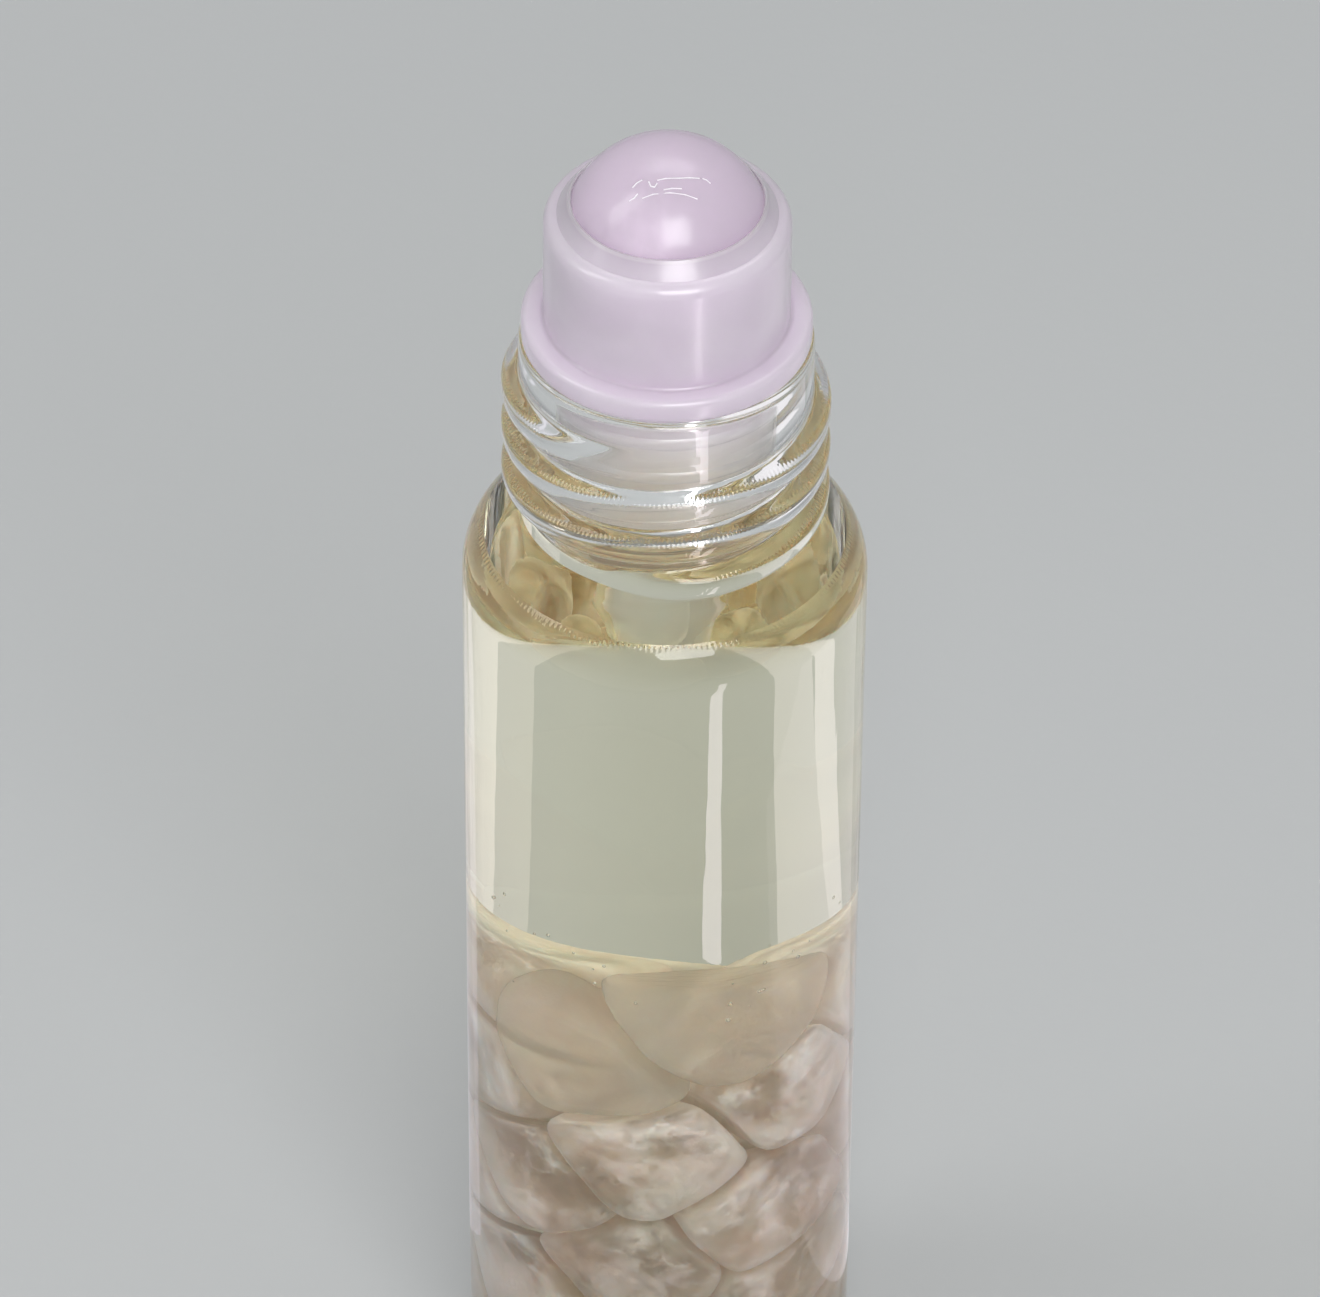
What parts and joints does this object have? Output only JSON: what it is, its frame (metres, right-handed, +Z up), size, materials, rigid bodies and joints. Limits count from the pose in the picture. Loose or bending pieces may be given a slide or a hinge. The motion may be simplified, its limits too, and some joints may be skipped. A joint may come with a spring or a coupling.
{
  "type": "roll-on bottle",
  "caption": "Clear glass roll-on vial with a threaded neck, a milky roller fitment holding a rolling ball, pale oil and tumbled quartz stones inside; uncapped.",
  "frame": {"origin": "centre of the underside of the glass base, on the surface the vial stands on", "axes": "+Z up along the vial's axis towards the ball; the first end of the neck thread lies towards -Y and -X"},
  "size_m": [0.0198, 0.0198, 0.0825],
  "materials": {
    "clear_glass": "clear flint glass, fire polished",
    "pale_oil": "clear pale yellow oil",
    "milky_plastic": "translucent milky polypropylene, soft gloss",
    "ball_plastic": "polished translucent ball",
    "quartz": "tumbled translucent quartz"
  },
  "bodies": {
    "vial": {"glass_vial": "clear_glass", "oil_fill": "pale_oil", "stone_01": "quartz", "stone_02": "quartz", "stone_03": "quartz", "stone_04": "quartz", "stone_05": "quartz", "stone_06": "quartz", "stone_07": "quartz", "stone_08": "quartz", "stone_09": "quartz", "stone_10": "quartz", "stone_11": "quartz", "stone_12": "quartz", "stone_13": "quartz", "stone_14": "quartz", "stone_15": "quartz", "stone_16": "quartz", "stone_17": "quartz", "stone_18": "quartz", "stone_19": "quartz", "stone_20": "quartz", "stone_21": "quartz", "stone_22": "quartz", "stone_23": "quartz", "stone_24": "quartz", "stone_25": "quartz", "stone_26": "quartz"},
    "fitment": {"roller_fitment": "milky_plastic"},
    "ball": {"roller_ball": "ball_plastic"}
  },
  "joints": [
    {"name": "fitment_pull", "type": "slide", "parent": "vial", "child": "fitment", "axis": [0, 0, 1], "range_m": [0, 0.01]},
    {"name": "ball_roll", "type": "hinge", "parent": "fitment", "child": "ball", "pos_m": [0, 0, 0.07745], "axis": [1, 0, 0], "continuous": true}
  ]
}
